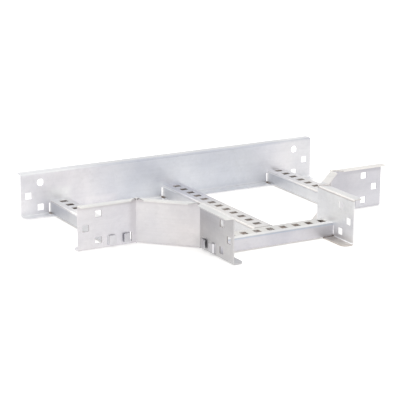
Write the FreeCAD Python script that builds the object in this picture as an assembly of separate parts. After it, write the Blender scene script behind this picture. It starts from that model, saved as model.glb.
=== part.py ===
import FreeCAD, Part
import math
import os

# Flat tee for a cable ladder: three equal openings, two along the run and one at the branch.
#
# Seven folded sheets. A straight rail closes the back of the run, two corner rails turn from the
# run into the branch through a diagonal, and four perforated rungs tie the rails together. A rung
# is a channel, open below, whose side walls end in tabs. Each tab passes through a window in the
# sheet that the rung meets, and is hammered over behind it.
#
# Frame: X along the run, the branch towards -Y, Z up, origin at the middle of the box, on its floor.

# Driving dimensions, in millimetres and degrees
RAIL_HEIGHT = 60.0
RAIL_SHEET = 1.5
RAIL_FOLD = 1.5                # inner radius between a web and its flanges
CORNER_FOLD = 1.5              # inner radius of the upright bends of a corner rail
TOP_FLANGE = 12.5              # from the cable side of the web to the free edge, away from the cables
BOTTOM_FLANGE = 15.0           # from the cable side of the web to the free edge, under the cables
TOP_CORNER = 2.5               # rounding at the open ends of the top flange
BOTTOM_CORNER = 8.0            # rounding at the open ends of the bottom flange

CLEAR_WIDTH = 175.0            # between the cable sides of facing webs, in the run and the branch
DIAGONAL = 60.0                # reach of a corner rail's diagonal along the run, and the same across
STRAIGHT = 83.0                # straight length at each of the three openings

HOLE_SIZE = 9.0                # square joint holes for carriage bolts
HOLE_CORNER = 1.0
ROUND_HOLE = 10.0              # the upper joint hole of the back rail is drilled round
END_HOLE_INSET = 10.9          # middle hole, from the rail's end
PAIR_HOLE_INSET = 28.6         # upper and lower holes, from the rail's end
UPPER_HOLE_DROP = 14.1         # upper hole, below the rail's top
LOWER_HOLE_RISE = 11.5         # lower hole, above the rail's underside

RUNG_WIDTH = 30.0
RUNG_HEIGHT = 17.0
RUNG_SHEET = 1.5
RUNG_FOLD = 1.5                # inner radius of the shoulders
SIDE_RUNG_INSET = 58.0         # centre line of a side rung, from the open end beside it
BRANCH_RUNG_INSET = 60.0       # centre line of the branch rung, from the end of the branch
SLOT_LENGTH = 10.6             # across the rung
SLOT_WIDTH = 9.0               # along the rung
SLOT_PITCH = 19.5
SLOT_EDGE = 1.0                # least sheet left between a slot and the rung's end

# The rungs are cut from perforated strip, so each has its own first slot. The distance runs to the
# slot's centre from the back rail, and on the branch rung from the right corner rail.
LEFT_FIRST_SLOT = 10.5
MIDDLE_FIRST_SLOT = 13.0
RIGHT_FIRST_SLOT = 5.8
BRANCH_FIRST_SLOT = 8.4

TAB_LENGTH = 9.5               # from the outside of the rung to the tab's free end
TAB_FOLD = 0.8                 # inner radius where the tab turns
TAB_ANGLE = 80.0               # a tab hammered flat springs back a little
TAB_CORNER = 2.0
TAB_CLEARANCE = 0.4            # above and below a tab in its window
WINDOW_OUTER_GAP = 2.3         # part of the window left open outside the rung
WINDOW_INNER_GAP = 0.8         # and inside it, where the tab turns
WINDOW_CORNER = 1.0
SEAT_CLEARANCE = 0.5           # between a rung's end and the fold that its rail stands on

# Sizes that follow
HALF_RUN = CLEAR_WIDTH / 2 + DIAGONAL + STRAIGHT
DEPTH = TOP_FLANGE + CLEAR_WIDTH + DIAGONAL + STRAIGHT
BACK_Y = DEPTH / 2 - TOP_FLANGE
FRONT_Y = BACK_Y - CLEAR_WIDTH
BRANCH_END_Y = FRONT_Y - DIAGONAL - STRAIGHT

WEB_LOW = RAIL_SHEET + RAIL_FOLD
WEB_HIGH = RAIL_HEIGHT - RAIL_SHEET - RAIL_FOLD
UPPER_HOLE_Z = RAIL_HEIGHT - UPPER_HOLE_DROP
MIDDLE_HOLE_Z = (UPPER_HOLE_Z + LOWER_HOLE_RISE) / 2

RUNG_LOW = RAIL_SHEET
RUNG_TOP = RUNG_LOW + RUNG_HEIGHT
RUNG_ROUND = RUNG_SHEET + RUNG_FOLD
FOOT_CLIP = RAIL_FOLD + SEAT_CLEARANCE
TAB_LOW = WEB_LOW + SEAT_CLEARANCE
TAB_HIGH = RUNG_TOP - RUNG_ROUND
SIDE_RUNG_X = HALF_RUN - SIDE_RUNG_INSET
BRANCH_RUNG_Y = BRANCH_END_Y + BRANCH_RUNG_INSET
BRANCH_RUNG_BACK_Y = BRANCH_RUNG_Y + RUNG_WIDTH / 2

ORIGIN = FreeCAD.Vector(0, 0, 0)
EAST = FreeCAD.Vector(1, 0, 0)
NORTH = FreeCAD.Vector(0, 1, 0)
UP = FreeCAD.Vector(0, 0, 1)


def point(x, y, z=0.0):
    return FreeCAD.Vector(x, y, z)


def rounded_face(corners):
    """Face inside a closed outline of (point, radius) corners, with a tangent arc at each radius."""
    ends = []
    for i, (corner, radius) in enumerate(corners):
        back = (corners[i - 1][0] - corner).normalize()
        ahead = (corners[(i + 1) % len(corners)][0] - corner).normalize()
        half = back.getAngle(ahead) / 2
        reach = radius / math.tan(half)
        middle = None
        if radius > 0:
            inward = (back + ahead).normalize()
            middle = corner + inward * (radius / math.sin(half) - radius)
        ends.append((corner + back * reach, middle, corner + ahead * reach))
    edges = []
    for i, (first, middle, last) in enumerate(ends):
        if middle is not None:
            edges.append(Part.Arc(first, middle, last).toShape())
        following = ends[(i + 1) % len(ends)][0]
        if last.distanceToPoint(following) > 1e-6:
            edges.append(Part.LineSegment(last, following).toShape())
    return Part.Face(Part.Wire(edges))


def rectangle(centre, along, across, length, width, radius):
    """Rounded rectangle about a centre, with its sides on two unit directions."""
    a = along * (length / 2)
    b = across * (width / 2)
    corners = [centre - a - b, centre + a - b, centre + a + b, centre - a + b]
    return rounded_face([(corner, radius) for corner in corners])


def raised(plan, low, high):
    """The solid over a face in the plan, from one level to another."""
    solid = plan.extrude(UP * (high - low))
    solid.translate(UP * low)
    return solid


def placed(shape, at, turn):
    """A copy turned about Z by so many degrees, then moved to a point."""
    copy = shape.copy()
    copy.rotate(ORIGIN, UP, turn)
    copy.translate(at)
    return copy


def fused(shapes):
    return shapes[0].fuse(shapes[1:]).removeSplitter()


def without(shape, cutters):
    return shape.cut(cutters) if cutters else shape


# Rails: a rail follows a path of points on its cable side, with the cables on the left of the path.
# It is made of straight stretches and, between them, upright bends away from the cables.

def left_of(direction):
    return UP.cross(direction).normalize()


def rail_section():
    """Section of a rail drawn along X: cable side at Y = 0, top flange to -Y, bottom flange to +Y."""
    return rounded_face([
        (point(0, 0, RAIL_HEIGHT), RAIL_FOLD + RAIL_SHEET),
        (point(0, 0, RAIL_SHEET), RAIL_FOLD),
        (point(0, BOTTOM_FLANGE, RAIL_SHEET), 0.0),
        (point(0, BOTTOM_FLANGE, 0), 0.0),
        (point(0, -RAIL_SHEET, 0), RAIL_FOLD + RAIL_SHEET),
        (point(0, -RAIL_SHEET, RAIL_HEIGHT - RAIL_SHEET), RAIL_FOLD),
        (point(0, -TOP_FLANGE, RAIL_HEIGHT - RAIL_SHEET), 0.0),
        (point(0, -TOP_FLANGE, RAIL_HEIGHT), 0.0)])


def stretch(start, end, start_open, end_open):
    """Straight part of a rail along X. Its flanges are round at an open end. At a bend the top flange
    is notched, and the bottom one ends square, so that it is slit."""
    notches = [0.0 if is_open else TOP_FLANGE for is_open in (start_open, end_open)]
    top_corners = [TOP_CORNER if is_open else 0.0 for is_open in (start_open, end_open)]
    bottom_corners = [BOTTOM_CORNER if is_open else 0.0 for is_open in (start_open, end_open)]
    bar = rail_section().extrude(EAST * (end - start))
    bar.translate(EAST * start)
    top_plan = rounded_face([
        (point(start, 0), 0.0),
        (point(start + notches[0], -TOP_FLANGE), top_corners[0]),
        (point(end - notches[1], -TOP_FLANGE), top_corners[1]),
        (point(end, 0), 0.0)])
    bottom_plan = rounded_face([
        (point(start, -RAIL_SHEET), 0.0),
        (point(start, BOTTOM_FLANGE), bottom_corners[0]),
        (point(end, BOTTOM_FLANGE), bottom_corners[1]),
        (point(end, -RAIL_SHEET), 0.0)])
    keep = fused([raised(bottom_plan, 0, WEB_HIGH), raised(top_plan, WEB_HIGH, RAIL_HEIGHT)])
    return bar.common(keep)


def setback(before, at, after):
    """Length that the bend at a point takes from the stretch on each side of it."""
    turn = (at - before).getAngle(after - at)
    return (CORNER_FOLD + RAIL_SHEET) * math.tan(turn / 2)


def bend(before, at, after):
    """Upright bend at a point. With no flange to fold, its sheet stands the whole height."""
    reach = setback(before, at, after)
    start = at - (at - before).normalize() * reach
    end = at + (after - at).normalize() * reach
    start_side = left_of(at - before)
    end_side = left_of(after - at)
    both = start_side + end_side
    plan = rounded_face([
        (start, 0.0),
        (at, CORNER_FOLD + RAIL_SHEET),
        (end, 0.0),
        (end - end_side * RAIL_SHEET, 0.0),
        (at - both * (2 * RAIL_SHEET / both.dot(both)), CORNER_FOLD),
        (start - start_side * RAIL_SHEET, 0.0)])
    return raised(plan, 0, RAIL_HEIGHT)


def rail(path):
    """Folded rail along a path of points."""
    bends = list(zip(path, path[1:], path[2:]))
    setbacks = [0.0] + [setback(*corner) for corner in bends] + [0.0]
    last = len(path) - 2
    shapes = [bend(*corner) for corner in bends]
    for i in range(last + 1):
        run = path[i + 1] - path[i]
        straight = stretch(setbacks[i], run.Length - setbacks[i + 1], i == 0, i == last)
        shapes.append(placed(straight, path[i], math.degrees(math.atan2(run.y, run.x))))
    return fused(shapes)


# Openings punched through a web, each given by its place on the web and the way through

def punch(face, through):
    """Cutter that carries a face both ways along the given direction."""
    reach = through * (RAIL_SHEET + RUNG_SHEET)
    cutter = face.extrude(reach * 2)
    cutter.translate(reach * -1)
    return cutter


def end_holes(end, along, through, round_upper=False):
    """The three joint holes at an open end. along points from the end into the rail."""
    upper = end + along * PAIR_HOLE_INSET + UP * UPPER_HOLE_Z
    lower = end + along * PAIR_HOLE_INSET + UP * LOWER_HOLE_RISE
    middle = end + along * END_HOLE_INSET + UP * MIDDLE_HOLE_Z
    faces = [rectangle(centre, along, UP, HOLE_SIZE, HOLE_SIZE, HOLE_CORNER)
             for centre in (middle, lower, upper)]
    if round_upper:
        faces[-1] = Part.Face(Part.Wire(Part.Circle(upper, through, ROUND_HOLE / 2).toShape()))
    return [punch(face, through) for face in faces]


def tab_windows(centre, along, through):
    """The two windows for a rung's tabs. centre lies on the web, on the rung's centre line."""
    outer = RUNG_WIDTH / 2 + WINDOW_OUTER_GAP
    inner = RUNG_WIDTH / 2 - RUNG_SHEET - WINDOW_INNER_GAP
    height = TAB_HIGH - TAB_LOW + 2 * TAB_CLEARANCE
    level = (TAB_LOW + TAB_HIGH) / 2
    cutters = []
    for side in (-1, 1):
        middle = centre + along * (side * (outer + inner) / 2) + UP * level
        window = rectangle(middle, along, UP, outer - inner, height, WINDOW_CORNER)
        cutters.append(punch(window, through))
    return cutters


def back_side_rail():
    left = point(-HALF_RUN, BACK_Y)
    right = point(HALF_RUN, BACK_Y)
    cutters = end_holes(left, EAST, NORTH, round_upper=True)
    cutters += end_holes(right, EAST * -1, NORTH, round_upper=True)
    for x in (-SIDE_RUNG_X, 0.0, SIDE_RUNG_X):
        cutters += tab_windows(point(x, BACK_Y), EAST, NORTH)
    return without(rail([right, left]), cutters)


def left_corner_rail():
    arm_end = point(-HALF_RUN, FRONT_Y)
    first_bend = point(-CLEAR_WIDTH / 2 - DIAGONAL, FRONT_Y)
    second_bend = point(-CLEAR_WIDTH / 2, FRONT_Y - DIAGONAL)
    leg_end = point(-CLEAR_WIDTH / 2, BRANCH_END_Y)
    cutters = end_holes(arm_end, EAST, NORTH)
    cutters += end_holes(leg_end, NORTH, EAST)
    cutters += tab_windows(point(-SIDE_RUNG_X, FRONT_Y), EAST, NORTH)
    cutters += tab_windows(point(-CLEAR_WIDTH / 2, BRANCH_RUNG_Y), NORTH, EAST)
    return without(rail([arm_end, first_bend, second_bend, leg_end]), cutters)


def right_corner_rail():
    return left_corner_rail().mirror(ORIGIN, EAST)


# Rungs: drawn along X from 0 to their length, centred on Y

def channel(length):
    """Inverted channel with rounded shoulders, its feet clipped to clear the folds of the rails."""
    half = RUNG_WIDTH / 2
    inside = half - RUNG_SHEET
    ceiling = RUNG_TOP - RUNG_SHEET
    section = rounded_face([
        (point(0, -half, RUNG_LOW), 0.0),
        (point(0, -half, RUNG_TOP), RUNG_ROUND),
        (point(0, half, RUNG_TOP), RUNG_ROUND),
        (point(0, half, RUNG_LOW), 0.0),
        (point(0, inside, RUNG_LOW), 0.0),
        (point(0, inside, ceiling), RUNG_FOLD),
        (point(0, -inside, ceiling), RUNG_FOLD),
        (point(0, -inside, RUNG_LOW), 0.0)])
    clips = []
    for end, inward in ((0.0, 1), (length, -1)):
        clip = rounded_face([
            (point(end, -RUNG_WIDTH, RUNG_LOW), 0.0),
            (point(end + inward * FOOT_CLIP, -RUNG_WIDTH, RUNG_LOW), 0.0),
            (point(end, -RUNG_WIDTH, RUNG_LOW + FOOT_CLIP), 0.0)])
        clips.append(clip.extrude(NORTH * (2 * RUNG_WIDTH)))
    return section.extrude(EAST * length).cut(clips)


def tab(wall):
    """Tab of the side wall at -Y, for a rung that ends at X = 0 on a sheet of thickness wall.

    It goes straight through the sheet, then turns towards the rung's centre line.
    """
    outside = -RUNG_WIDTH / 2
    inside = outside + RUNG_SHEET
    turn = math.radians(TAB_ANGLE)
    ahead = point(math.cos(turn), math.sin(turn))
    thick = UP.cross(ahead) * RUNG_SHEET
    outer_reach = (TAB_FOLD + RUNG_SHEET) * math.tan(turn / 2)
    outer_knee = point(wall + outer_reach, outside)
    inner_knee = point(wall + TAB_FOLD * math.tan(turn / 2), inside)
    root = outer_knee + ahead * outer_reach
    bend = rounded_face([
        (point(0, outside), 0.0),
        (outer_knee, TAB_FOLD + RUNG_SHEET),
        (root, 0.0),
        (root + thick, 0.0),
        (inner_knee, TAB_FOLD),
        (point(0, inside), 0.0)])
    tip = root + ahead * ((outside + TAB_LENGTH - root.y) / ahead.y)
    plate = rounded_face([
        (root + UP * TAB_LOW, 0.0),
        (tip + UP * TAB_LOW, TAB_CORNER),
        (tip + UP * TAB_HIGH, TAB_CORNER),
        (root + UP * TAB_HIGH, 0.0)])
    return raised(bend, TAB_LOW, TAB_HIGH).fuse(plate.extrude(thick))


def tab_pair(wall):
    one = tab(wall)
    return [one, one.mirror(ORIGIN, NORTH)]


def slot_cutters(length, first_slot):
    """Cutters for the top of a rung, from its far end back to its start."""
    room = length - first_slot - SLOT_WIDTH / 2 - SLOT_EDGE
    cutters = []
    for i in range(math.floor(room / SLOT_PITCH) + 1):
        centre = point(length - first_slot - i * SLOT_PITCH, 0)
        slot = rectangle(centre, EAST, NORTH, SLOT_WIDTH, SLOT_LENGTH, 0.0)
        cutters.append(raised(slot, RUNG_TOP - 2 * RUNG_SHEET, RUNG_TOP + RUNG_SHEET))
    return cutters


def rung(length, start_wall, first_slot):
    """A rung that starts on a sheet of thickness start_wall and ends on a rail."""
    shapes = [channel(length)]
    shapes += [placed(one, EAST * length, 0) for one in tab_pair(RAIL_SHEET)]
    shapes += [placed(one, ORIGIN, 180) for one in tab_pair(start_wall)]
    return without(fused(shapes), slot_cutters(length, first_slot))


def side_rung(x, first_slot):
    """Joins the back rail to a corner rail."""
    return placed(rung(CLEAR_WIDTH, RAIL_SHEET, first_slot), point(x, FRONT_Y), 90)


def middle_rung():
    """Runs from the branch rung to the back rail, down the middle of the tee."""
    length = BACK_Y - BRANCH_RUNG_BACK_Y
    return placed(rung(length, RUNG_SHEET, MIDDLE_FIRST_SLOT), point(0, BRANCH_RUNG_BACK_Y), 90)


def branch_rung():
    """Lies across the branch, with windows in its back wall for the middle rung."""
    bar = rung(CLEAR_WIDTH, RAIL_SHEET, BRANCH_FIRST_SLOT)
    windows = tab_windows(point(0, BRANCH_RUNG_BACK_Y), EAST, NORTH)
    return without(placed(bar, point(-CLEAR_WIDTH / 2, BRANCH_RUNG_Y), 0), windows)


parts = {
    "back_side_rail": back_side_rail(),
    "left_corner_rail": left_corner_rail(),
    "right_corner_rail": right_corner_rail(),
    "left_rung": side_rung(-SIDE_RUNG_X, LEFT_FIRST_SLOT),
    "middle_rung": middle_rung(),
    "right_rung": side_rung(SIDE_RUNG_X, RIGHT_FIRST_SLOT),
    "branch_rung": branch_rung(),
}

os.makedirs("parts", exist_ok=True)
for name, shape in parts.items():
    shape.exportStep(os.path.join("parts", name + ".step"))
    box = shape.BoundBox
    spans = ((box.XMin, box.XMax), (box.YMin, box.YMax), (box.ZMin, box.ZMax))
    print(name, "solids", len(shape.Solids), "valid", shape.isValid(), "volume", round(shape.Volume, 1),
          "box", [(round(low, 2), round(high, 2)) for low, high in spans])
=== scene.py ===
import math

import bpy
from mathutils import Matrix, Vector


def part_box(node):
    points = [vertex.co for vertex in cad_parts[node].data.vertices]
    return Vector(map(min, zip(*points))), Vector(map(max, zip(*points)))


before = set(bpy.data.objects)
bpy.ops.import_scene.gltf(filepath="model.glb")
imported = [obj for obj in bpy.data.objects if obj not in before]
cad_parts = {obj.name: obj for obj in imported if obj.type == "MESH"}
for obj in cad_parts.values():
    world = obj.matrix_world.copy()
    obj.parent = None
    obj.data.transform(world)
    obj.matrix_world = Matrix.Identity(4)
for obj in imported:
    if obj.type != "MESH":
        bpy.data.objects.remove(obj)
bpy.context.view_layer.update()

MILLIMETRE = 0.001

# The photograph's view: degrees, millimetres, and pixels of its square frame
VIEW_AZIMUTH = -29.587
VIEW_ELEVATION = 15.218
VIEW_ROLL = 0.3115
VIEW_DISTANCE = 2307.6
VIEW_TARGET = (33.06, 132.23, -4.21)
FOCAL_PIXELS = 1638.7
FRAME_PIXELS = 400
SENSOR_WIDTH = 36.0

# Patterns of the zinc coating: their real sizes, how far they darken the metal or roughen it, and the
# part of each noise's range that shows
CLOUD_SIZE = 70 * MILLIMETRE
CLOUD_TINT = "#F1F2F5"
CLOUD_RANGE = (0.35, 0.65)
SPANGLE_SIZE = 4 * MILLIMETRE
SPANGLE_CONTRAST = 0.035
SPANGLE_RANGE = (0.0, 1.0)
ROLLED_LINE_SIZE = 2.5 * MILLIMETRE
ROLLED_LINE_STRETCH = 40
ROLLED_CONTRAST = 0.025
ROLLED_RANGE = (0.3, 0.7)
SCUFF_SIZE = 24 * MILLIMETRE
SCUFF_CONTRAST = 0.06
SCUFF_RANGE = (0.28, 0.42)
GRAIN_SIZE = 1.6 * MILLIMETRE
GRAIN_DEPTH = 0.03 * MILLIMETRE
GRAIN_STRENGTH = 0.25
GRAIN_RANGE = (0.3, 0.7)
ZINC_ROUGHNESS = 0.45
ROUGHNESS_SPREAD = 0.05

# Studio, in metres: the floor, its colour in reflections and its colour to the camera, how much of its
# white doesn't depend on light in each, and the room's own light
FLOOR_HALF = 8.0
FLOOR_LEVEL = -0.5 * MILLIMETRE
PAPER = "#C6C3C0"
PAPER_SEEN = "#F5F4F2"
FLOOR_LIFT = 0.58
SEEN_LIFT = 0.35
ROOM_LIGHT = 0.55
WHITE = "#FFFFFF"

# Soft boxes: where they stand and their width, in metres, and their power in watts
OVERHEAD = {"at": (-0.4, -0.6, 4.0), "size": 5.0, "power": 110.0}
BACK_WINDOW = {"at": (-1.0, 3.4, 2.0), "size": 3.0, "power": 35.0}


def linear(colour):
    """Linear RGBA of an sRGB hex colour."""
    parts = [int(colour[i:i + 2], 16) / 255 for i in (1, 3, 5)]
    parts = [p / 12.92 if p <= 0.04045 else ((p + 0.055) / 1.055) ** 2.4 for p in parts]
    return (*parts, 1.0)


def add(tree, kind, inputs=None, **settings):
    """Adds a node. An input is set to its value, or linked where that is another node's output."""
    made = tree.nodes.new(kind)
    for name, value in settings.items():
        setattr(made, name, value)
    for name, value in (inputs or {}).items():
        if isinstance(value, bpy.types.NodeSocket):
            tree.links.new(value, made.inputs[name])
        else:
            made.inputs[name].default_value = value
    return made


def empty_material(name):
    """A material with nothing in it, and its node tree."""
    material = bpy.data.materials.new(name)
    material.use_nodes = True
    material.node_tree.nodes.clear()
    return material, material.node_tree


def zone(tone, **sides):
    """A box of a sheet with a tone of its own, which paints light or shade into the colour there. Each
    axis that bounds it is given with the lowest and the highest place, None where it is open, and the
    width over which it fades, in millimetres."""
    return tone, sides


def galvanised(name, tone, zones):
    """Pre-galvanised steel strip, rolled and folded. The zinc is a pale matt silver. To the eye it gives
    soft clouds of bluish grey, a crystal spangle that hardly shows, faint rolled lines along the strip,
    and a few dull scuffs from handling. Zones paint light and shade into the colour, each face to its
    lightness in the photograph: faces lighter or darker as light falls on them, painted highlights and
    reflections, and painted shade in corners, on folds and on cut edges. Where zones meet, the later one
    lies on top."""
    material, tree = empty_material(name)
    place = add(tree, "ShaderNodeTexCoord").outputs["Object"]
    clouds = add(tree, "ShaderNodeTexNoise",
                 {"Vector": place, "Scale": 1 / CLOUD_SIZE, "Detail": 3.0, "Roughness": 0.55})
    spangle = add(tree, "ShaderNodeTexVoronoi", {"Vector": place, "Scale": 1 / SPANGLE_SIZE})
    crystals = add(tree, "ShaderNodeSeparateColor", {"Color": spangle.outputs["Color"]})
    grain = add(tree, "ShaderNodeTexNoise",
                {"Vector": place, "Scale": 1 / GRAIN_SIZE, "Detail": 3.0, "Roughness": 0.6})
    along = add(tree, "ShaderNodeMapping",
                {"Vector": place, "Scale": (1 / ROLLED_LINE_STRETCH, 1 / ROLLED_LINE_STRETCH, 1.0)})
    lines = add(tree, "ShaderNodeTexNoise",
                {"Vector": along.outputs["Vector"], "Scale": 1 / ROLLED_LINE_SIZE, "Detail": 2.0})
    scuffs = add(tree, "ShaderNodeTexNoise",
                 {"Vector": place, "Scale": 1 / SCUFF_SIZE, "Detail": 4.0, "Roughness": 0.65})

    axes = add(tree, "ShaderNodeSeparateXYZ", {"Vector": place})
    base = linear(tone)
    # Zones of painted light and shade, each mixed over the base colour
    for zone_tone, sides in zones:
        inside = 1.0
        for axis, (first, last, fade) in sides.items():
            for edge, inward in ((first, 1), (last, -1)):
                if edge is None:
                    continue
                step = add(tree, "ShaderNodeMapRange",
                           {"Value": axes.outputs[axis.upper()],
                            "From Min": (edge - inward * fade / 2) * MILLIMETRE,
                            "From Max": (edge + inward * fade / 2) * MILLIMETRE},
                           interpolation_type="SMOOTHSTEP")
                inside = add(tree, "ShaderNodeMath", {0: inside, 1: step.outputs["Result"]},
                             operation="MULTIPLY").outputs["Value"]
        base = add(tree, "ShaderNodeMixRGB",
                   {"Fac": inside, "Color1": base, "Color2": linear(zone_tone)}).outputs["Color"]
    clouded = add(tree, "ShaderNodeMapRange",
                  {"Value": clouds.outputs["Fac"],
                   "From Min": CLOUD_RANGE[0], "From Max": CLOUD_RANGE[1]})
    cooled = add(tree, "ShaderNodeMixRGB",
                 {"Fac": clouded.outputs["Result"], "Color1": base, "Color2": linear(CLOUD_TINT)},
                 blend_type="MULTIPLY")

    shade = 1.0
    for pattern, (dark, light), contrast in (
            (crystals.outputs["Red"], SPANGLE_RANGE, SPANGLE_CONTRAST),
            (lines.outputs["Fac"], ROLLED_RANGE, ROLLED_CONTRAST),
            (scuffs.outputs["Fac"], SCUFF_RANGE, SCUFF_CONTRAST)):
        level = add(tree, "ShaderNodeMapRange",
                    {"Value": pattern, "From Min": dark, "From Max": light,
                     "To Min": 1 - contrast, "To Max": 1.0})
        shade = add(tree, "ShaderNodeMath", {0: shade, 1: level.outputs["Result"]},
                    operation="MULTIPLY").outputs["Value"]
    colour = add(tree, "ShaderNodeVectorMath", {0: cooled.outputs["Color"], "Scale": shade},
                 operation="SCALE")
    sheen = add(tree, "ShaderNodeMapRange",
                {"Value": grain.outputs["Fac"],
                 "From Min": GRAIN_RANGE[0], "From Max": GRAIN_RANGE[1],
                 "To Min": ZINC_ROUGHNESS - ROUGHNESS_SPREAD,
                 "To Max": ZINC_ROUGHNESS + ROUGHNESS_SPREAD})
    relief = add(tree, "ShaderNodeBump",
                 {"Height": grain.outputs["Fac"], "Strength": GRAIN_STRENGTH, "Distance": GRAIN_DEPTH})
    zinc = add(tree, "ShaderNodeBsdfPrincipled",
               {"Base Color": colour.outputs["Vector"], "Metallic": 1.0,
                "Roughness": sheen.outputs["Result"], "Normal": relief.outputs["Normal"]})
    add(tree, "ShaderNodeOutputMaterial", {"Surface": zinc.outputs["BSDF"]})
    return material


def background_rays(tree):
    """1 for the rays that show the background: the camera's, and those reflected in or seen through
    something."""
    path = add(tree, "ShaderNodeLightPath")
    mirrored = add(tree, "ShaderNodeMath",
                   {0: path.outputs["Is Camera Ray"], 1: path.outputs["Is Glossy Ray"]},
                   operation="MAXIMUM")
    return add(tree, "ShaderNodeMath",
               {0: mirrored.outputs["Value"], 1: path.outputs["Is Transmission Ray"]},
               operation="MAXIMUM").outputs["Value"]


def lamp(name, at, size, power):
    """Square soft box at a point, facing the part."""
    data = bpy.data.lights.new(name, "AREA")
    data.size = size
    data.energy = power
    data.color = linear(WHITE)[:3]
    made = bpy.data.objects.new(name, data)
    made.location = at
    made.rotation_euler = (-Vector(at)).to_track_quat("-Z", "Y").to_euler()
    bpy.context.scene.collection.objects.link(made)
    return made


# Finishes of the folded sheets, with every place in millimetres
# Painted shade beside the rungs' feet, dark and pale, and painted shade on the cut edges of holes and
# windows
FOOT_SHADE = "#8A7768"
PALE_FOOT_SHADE = "#C4BAB1"
CUT_EDGE_SHADE = "#9A9592"
FOOT_LINE = 3.0
FOOT_RISE = 2.8
FOOT_FADE = 1.0
FACE_FADE = 0.4
RUNG_TOP_FADE = 1.6
RUNG_SHEET = 1.5
RUNG_TAB = 5.1


def piece_box(name):
    """Lowest and highest corner of a piece."""
    return [Vector(corner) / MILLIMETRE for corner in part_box(name)]


def foot_line(x, y, tone=FOOT_SHADE):
    """Painted shade in the corner beside a rung's foot, from its first to its last place in x and in y.
    """
    return zone(tone, x=(*x, FOOT_FADE), y=(*y, FOOT_FADE), z=(None, FOOT_RISE, FOOT_FADE))


def rung_finish(name, tabs, walls, top, inside, folds=()):
    """Zinc of a rung: its tabs, the walls and top between the sheets that it joins in tones of painted
    light and shade, its inside darkened with painted shade, and zones of painted light and shade of its
    own along its top and folds."""
    low, high = piece_box(name)
    along, across = ("x", "y") if high.x - low.x > high.y - low.y else ("y", "x")
    span = {along: (getattr(low, along) + RUNG_TAB, getattr(high, along) - RUNG_TAB, FACE_FADE)}
    middle = RUNG_SHEET / 2
    shaded_hollow = {**span,
              across: (getattr(low, across) + middle, getattr(high, across) - middle, FACE_FADE),
              "z": (None, high.z - middle, FACE_FADE)}
    return galvanised(
        "galvanised strip, " + name.replace("_", " "), tabs,
        # Walls and top in tones of painted light and shade, then the folds
        [zone(walls, **span),
         zone(top, **span, z=(high.z - RUNG_SHEET, None, RUNG_TOP_FADE)),
         *folds,
         # Inside the channel: painted shade
         zone(inside, **shaded_hollow)])


# Where the sheets stand: the middle of the back rail's web in y, the bends of the corner rails in x and
# in y, the left sides of the rungs across the run, and the front and back of the branch rung
BACK_WEB = 153.5
RUN_BEND = 148
BRANCH_BEND = -84
left_x, middle_x, right_x = (piece_box(name)[0].x for name in ("left_rung", "middle_rung", "right_rung"))
branch_front, branch_back = (corner.y for corner in piece_box("branch_rung"))

# Ranges of the zones: lowest and highest place, and fade
BETWEEN_ARMS = (-100, 160, 120)            # x, on the back rail
CABLE_SIDE = (None, BACK_WEB, FACE_FADE)   # y, on the back rail
OUTER_SIDE = (BACK_WEB, None, FACE_FADE)   # y, on the back rail
BACK_FLANGE_TOP = (59.85, None, 0.2)       # z
FLANGE_TOP = (58.4, None, FACE_FADE)       # z, on the corner rails
IN_RUN_WEB = (-23.6, -22.4, 0.1)           # y, inside the left corner rail's sheet along the run
IN_BRANCH_WEB = (-88.85, -87.65, 0.1)      # x, inside the same sheet along the branch
HOLE_HEIGHTS = (3.2, 57, 0.1)              # z
RUNG_TOP = (17.5, None, 0.6)               # z
MIDDLE_SIDE = (None, middle_x + 1.8, 0.6)  # x, the middle rung's left fold
MIDDLE_FOLD = (15.6, 18.45, 0.6)           # z, of the same fold
RIGHT_SIDE = (None, right_x + 1.6, 0.6)    # x, the right rung's left fold
RIGHT_FOLD = (16.4, 18.6, 0.6)             # z, of the same fold
TAB_ENDS = (None, -90.9, 0.2)              # x, the branch rung's left tabs

# Feet of the rungs, from first to last place
BACK_RAIL_FOOT = (145, 153)  # y
BRANCH_FOOT = (72, 88)       # x

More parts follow.
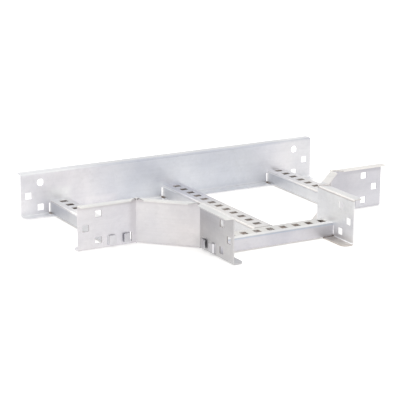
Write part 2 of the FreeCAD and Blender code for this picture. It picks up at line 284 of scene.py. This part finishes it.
FINISHES = {
    "back_side_rail": galvanised("galvanised strip, back rail", "#FDFCFE", [
        # Painted light and shade from the left end to the right one, darker and bluer between the arms
        zone("#F1EFF2", x=(-190, None, 60)),
        zone("#E7EAF0", x=BETWEEN_ARMS),
        zone("#E7E7EA", x=(180, None, 60)),
        # Painted light on the bottom flange, painted shade on the back, and painted shade and a painted
        # highlight on the fold of the top flange
        zone("#FFFFFF", z=(None, 4, 6)),
        zone("#DBDCE1", y=OUTER_SIDE),
        zone("#D8DAE1", x=BETWEEN_ARMS, z=(57, 59.9, 1.5)),
        zone("#FBFBFB", x=(None, -130, 80), y=(None, 156, 0.4), z=(57.6, 59.9, 1.2)),
        # Top flange, in painted light and shade
        zone("#EDEDEE", z=BACK_FLANGE_TOP),
        zone("#E4E4E5", x=(-130, 190, 80), z=BACK_FLANGE_TOP),
        # Painted shade on the bottom fold between the middle rung and the right one
        zone("#E8E9EC", x=(15, 157, 10), y=(150.6, 152.9, 0.4), z=(1.6, 3.4, 0.4)),
        # Painted reflections: lighter web where it mirrors the left rung, above it and beside it, and the
        # middle rung; then painted shade beside the rungs' feet
        zone("#FFFFFF", x=(-190, -158, 14), y=CABLE_SIDE, z=(17, 35, 12)),
        zone("#F7F5F8", x=(-165, -90, 20), y=CABLE_SIDE, z=(4, 17, 8)),
        zone("#F0F2F7", x=(-20, 2, 10), y=CABLE_SIDE, z=(17, 30, 10)),
        foot_line((left_x - FOOT_LINE, left_x), BACK_RAIL_FOOT, PALE_FOOT_SHADE),
        foot_line((middle_x - FOOT_LINE, middle_x), BACK_RAIL_FOOT),
        foot_line((right_x - FOOT_LINE, right_x), BACK_RAIL_FOOT),
    ]),
    "left_corner_rail": galvanised("galvanised strip, left corner rail", "#EEECEE", [
        # Painted light and shade along the run, then the diagonal from one bend to the other, and painted
        # shade under the top flange
        zone("#F5F3F6", x=(-185, None, 60)),
        zone("#E9E6E9", x=(-158, None, 8)),
        zone("#EAE8E9", x=(-RUN_BEND, None, 6)),
        zone("#E2DFE0", x=(-118, None, 30)),
        zone("#DCD8D9", y=(BRANCH_BEND, None, 5), z=(53.5, None, 5)),
        # Along the branch, painted shade: darker than the run, lighter at the top and darker at the
        # bottom
        zone("#D7D6D6", y=(None, BRANCH_BEND, 4)),
        zone("#E1E0E0", y=(-140, BRANCH_BEND, 12), z=(47, None, 12)),
        zone("#D0CFCF", y=(-126, BRANCH_BEND, 20), z=(None, 22, 16)),
        # Painted shade on the cut edges of the joint holes and windows, and painted light on the top
        # flange
        zone(CUT_EDGE_SHADE, x=(-229.5, -150, 0.1), y=IN_RUN_WEB, z=HOLE_HEIGHTS),
        zone(CUT_EDGE_SHADE, x=IN_BRANCH_WEB, y=(-164, BRANCH_BEND, 0.1), z=HOLE_HEIGHTS),
        zone("#EFEEEB", z=FLANGE_TOP),
    ]),
    "right_corner_rail": galvanised("galvanised strip, right corner rail", "#F8F8F7", [
        # Painted light and shade on the diagonal, then along the run, with the far end and the shade
        # under the top flange
        zone("#EEEAE6", x=(97, None, 6)),
        zone("#D2D1D6", x=(RUN_BEND, None, 6)),
        zone("#DEDDE1", x=(190, None, 60)),
        zone("#E8E7EA", x=(180, None, 30), z=(None, 20, 28)),
        zone("#CDCCD1", x=(168, None, 10), z=(51, 58, 5)),
        # Along the branch, painted light and shade: low at the front, on the fold of the top flange, and
        # on its top
        zone("#FCFCFB", x=(None, 92, 1), y=(None, -116, 15), z=(None, 20, 10)),
        zone("#D6D2CE", x=(None, 100, 0.6), z=(56.8, 59.8, 0.6)),
        zone("#ECEBEA", x=(None, 104, 0.2), z=(59.8, None, 0.2)),
        # Painted light on the top flange of the diagonal and along the run
        zone("#F6F3EE", x=(104, None, 0.4), z=FLANGE_TOP),
        # Painted shade on the bottom flange in front of the branch rung, and beside that rung's foot
        zone("#D6CFC8", x=(None, 95, 0.4), y=(None, -124, 0.4), z=(None, 1.7, 0.4)),
        foot_line(BRANCH_FOOT, (branch_front - FOOT_LINE, branch_front)),
        foot_line(BRANCH_FOOT, (branch_back, branch_back + FOOT_LINE)),
    ]),
    # Rungs: tabs, then walls and top in painted light and shade, then the inside in painted shade
    "left_rung": rung_finish("left_rung", "#E8E7E9", "#D3D4D7", "#FFFEFC", "#B0A399"),
    "middle_rung": rung_finish("middle_rung", "#E8E7E9", "#E6E6E7", "#EDEAE7", "#CBC2BB", [
        # Painted shade on the back part of the top, then the left fold with painted shade at the front
        # and a painted highlight at the back
        zone("#E0DFE4", y=(60, None, 50), z=RUNG_TOP),
        zone("#D2CFCC", x=MIDDLE_SIDE, y=(None, 60, 60), z=MIDDLE_FOLD),
        zone("#FFFFFF", x=MIDDLE_SIDE, y=(115, None, 40), z=MIDDLE_FOLD),
    ]),
    "right_rung": rung_finish("right_rung", "#E8E7E9", "#E6E7E9", "#EEECEB", "#C9C1BA", [
        # Painted light on the back part of the top, then the left fold in painted shade, darker at the
        # front, with a painted highlight at the back
        zone("#F8F7F8", y=(100, None, 60), z=RUNG_TOP),
        zone("#DDDAD7", x=RIGHT_SIDE, z=RIGHT_FOLD),
        zone("#D0CDCA", x=RIGHT_SIDE, y=(None, 30, 40), z=RIGHT_FOLD),
        zone("#FFFFFF", x=RIGHT_SIDE, y=(90, None, 60), z=RIGHT_FOLD),
    ]),
    "branch_rung": rung_finish("branch_rung", "#F4F3F5", "#DAD9DE", "#E8E6E2", "#DDD4CD", [
        # Painted light on the front strip of the top, and painted shade on its front fold
        zone("#F4F3F1", y=(None, -112, 4), z=RUNG_TOP),
        zone("#C9D1DD", y=(None, branch_front + 1.65, 1), z=(16.4, 18.2, 1)),
        # Painted shade on the ends of the tabs outside the left corner rail, as dark as the web they lie
        # on
        zone("#CFCED0", x=TAB_ENDS, y=(-117.8, -110, 0.6)),
        zone("#CFCED0", x=TAB_ENDS, y=(-99.4, -92.6, 0.2)),
    ]),
}
for name, finish in FINISHES.items():
    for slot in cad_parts[name].material_slots:
        slot.material = finish

# Floor: matt white paper, which keeps the shadow under the part
paper, paper_tree = empty_material("matt white paper")
seen = add(paper_tree, "ShaderNodeLightPath").outputs["Is Camera Ray"]
white = add(paper_tree, "ShaderNodeMixRGB",
            {"Fac": seen, "Color1": linear(PAPER), "Color2": linear(PAPER_SEEN)})
matt = add(paper_tree, "ShaderNodeBsdfDiffuse", {"Color": white.outputs["Color"]})
lift = add(paper_tree, "ShaderNodeMapRange", {"Value": seen, "To Min": FLOOR_LIFT, "To Max": SEEN_LIFT})
strength = add(paper_tree, "ShaderNodeMath",
               {0: background_rays(paper_tree), 1: lift.outputs["Result"]}, operation="MULTIPLY")
glow = add(paper_tree, "ShaderNodeEmission", {"Strength": strength.outputs["Value"]})
surface = add(paper_tree, "ShaderNodeAddShader", {0: matt.outputs["BSDF"], 1: glow.outputs["Emission"]})
add(paper_tree, "ShaderNodeOutputMaterial", {"Surface": surface.outputs["Shader"]})
corners = [(x * FLOOR_HALF, y * FLOOR_HALF, FLOOR_LEVEL) for x, y in ((-1, -1), (1, -1), (1, 1), (-1, 1))]
floor_mesh = bpy.data.meshes.new("floor")
floor_mesh.from_pydata(corners, [], [range(len(corners))])
floor_mesh.materials.append(paper)
floor = bpy.data.objects.new("floor", floor_mesh)
bpy.context.scene.collection.objects.link(floor)

# Room: even white, at full strength where it shows
room = bpy.data.worlds.new("studio")
room.use_nodes = True
room.node_tree.nodes.clear()
brightness = add(room.node_tree, "ShaderNodeMapRange",
                 {"Value": background_rays(room.node_tree), "To Min": ROOM_LIGHT, "To Max": 1.0})
sky = add(room.node_tree, "ShaderNodeBackground",
          {"Color": linear(WHITE), "Strength": brightness.outputs["Result"]})
add(room.node_tree, "ShaderNodeOutputWorld", {"Surface": sky.outputs["Background"]})
bpy.context.scene.world = room

overhead = lamp("overhead", **OVERHEAD)
overhead.visible_glossy = False
lamp("back window", **BACK_WINDOW)

# Camera
azimuth, elevation, roll = (math.radians(a) for a in (VIEW_AZIMUTH, VIEW_ELEVATION, VIEW_ROLL))
back = Vector((math.sin(azimuth) * math.cos(elevation), -math.cos(azimuth) * math.cos(elevation),
               math.sin(elevation)))
level = Vector((math.cos(azimuth), math.sin(azimuth), 0))
upright = back.cross(level)
right = level * math.cos(roll) + upright * math.sin(roll)
up = upright * math.cos(roll) - level * math.sin(roll)
view = bpy.data.cameras.new("camera")
view.sensor_width = SENSOR_WIDTH
view.lens = FOCAL_PIXELS / FRAME_PIXELS * SENSOR_WIDTH
camera = bpy.data.objects.new("camera", view)
place = (Vector(VIEW_TARGET) + back * VIEW_DISTANCE) * MILLIMETRE
camera.matrix_world = Matrix.Translation(place) @ Matrix((right, up, back)).transposed().to_4x4()
bpy.context.scene.collection.objects.link(camera)
bpy.context.scene.camera = camera
bpy.context.scene.view_settings.view_transform = "Standard"
